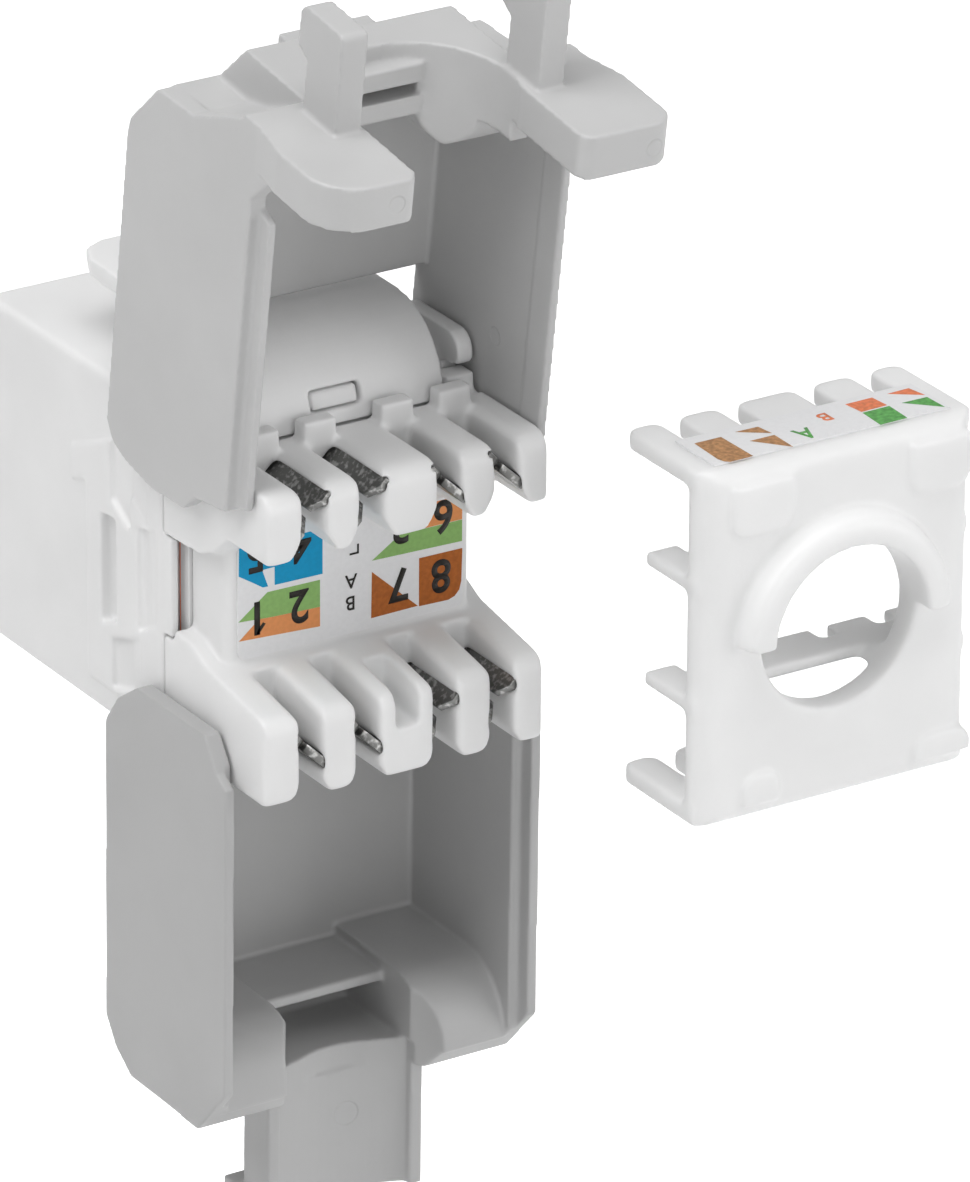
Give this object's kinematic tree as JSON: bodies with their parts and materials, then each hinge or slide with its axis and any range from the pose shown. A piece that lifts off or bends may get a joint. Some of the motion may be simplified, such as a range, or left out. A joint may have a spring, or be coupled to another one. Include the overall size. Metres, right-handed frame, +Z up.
{
  "type": "keystone jack",
  "caption": "Snap-in data jack with a plug port, a row of fork contacts for loose wires, two swing-open shells and a separate wire cap.",
  "frame": {"origin": "centre of the port face, which is flush with the front of the wall plate", "axes": "+X to the picture's left seen from behind, +Y rearwards along the cable, +Z up towards the latch lever"},
  "size_m": [0.0331, 0.0377, 0.0636],
  "materials": {
    "white_plastic": "satin moulded white plastic",
    "grey_plastic": "satin moulded cool grey plastic",
    "silver_metal": "tin plated bright",
    "gold_metal": "gold plated bright",
    "board": "dull board edge",
    "block_print": "printed label",
    "cap_print": "printed label"
  },
  "bodies": {
    "jack": {"front_housing": "white_plastic", "contact_carrier": "white_plastic", "circuit_board": "board", "idc_block": "white_plastic", "block_label": "block_print", "wire_cap": "white_plastic", "wire_cap_label": "cap_print", "idc_contact_1": "silver_metal", "idc_contact_2": "silver_metal", "idc_contact_3": "silver_metal", "idc_contact_4": "silver_metal", "idc_contact_5": "silver_metal", "idc_contact_6": "silver_metal", "idc_contact_7": "silver_metal", "idc_contact_8": "silver_metal", "port_contact_1": "gold_metal", "port_contact_2": "gold_metal", "port_contact_3": "gold_metal", "port_contact_4": "gold_metal", "port_contact_5": "gold_metal", "port_contact_6": "gold_metal", "port_contact_7": "gold_metal", "port_contact_8": "gold_metal"},
    "upper_cover": {"upper_shell": "grey_plastic"},
    "lower_cover": {"lower_shell": "grey_plastic"}
  },
  "joints": [
    {"name": "upper_hinge", "type": "hinge", "parent": "jack", "child": "upper_cover", "pos_m": [0, 0.0164, 0.0079], "axis": [1, 0, 0], "range_deg": [-81.76, 0]},
    {"name": "lower_hinge", "type": "hinge", "parent": "jack", "child": "lower_cover", "pos_m": [0, 0.0164, -0.0079], "axis": [1, 0, 0], "range_deg": [0, 90.95]}
  ]
}
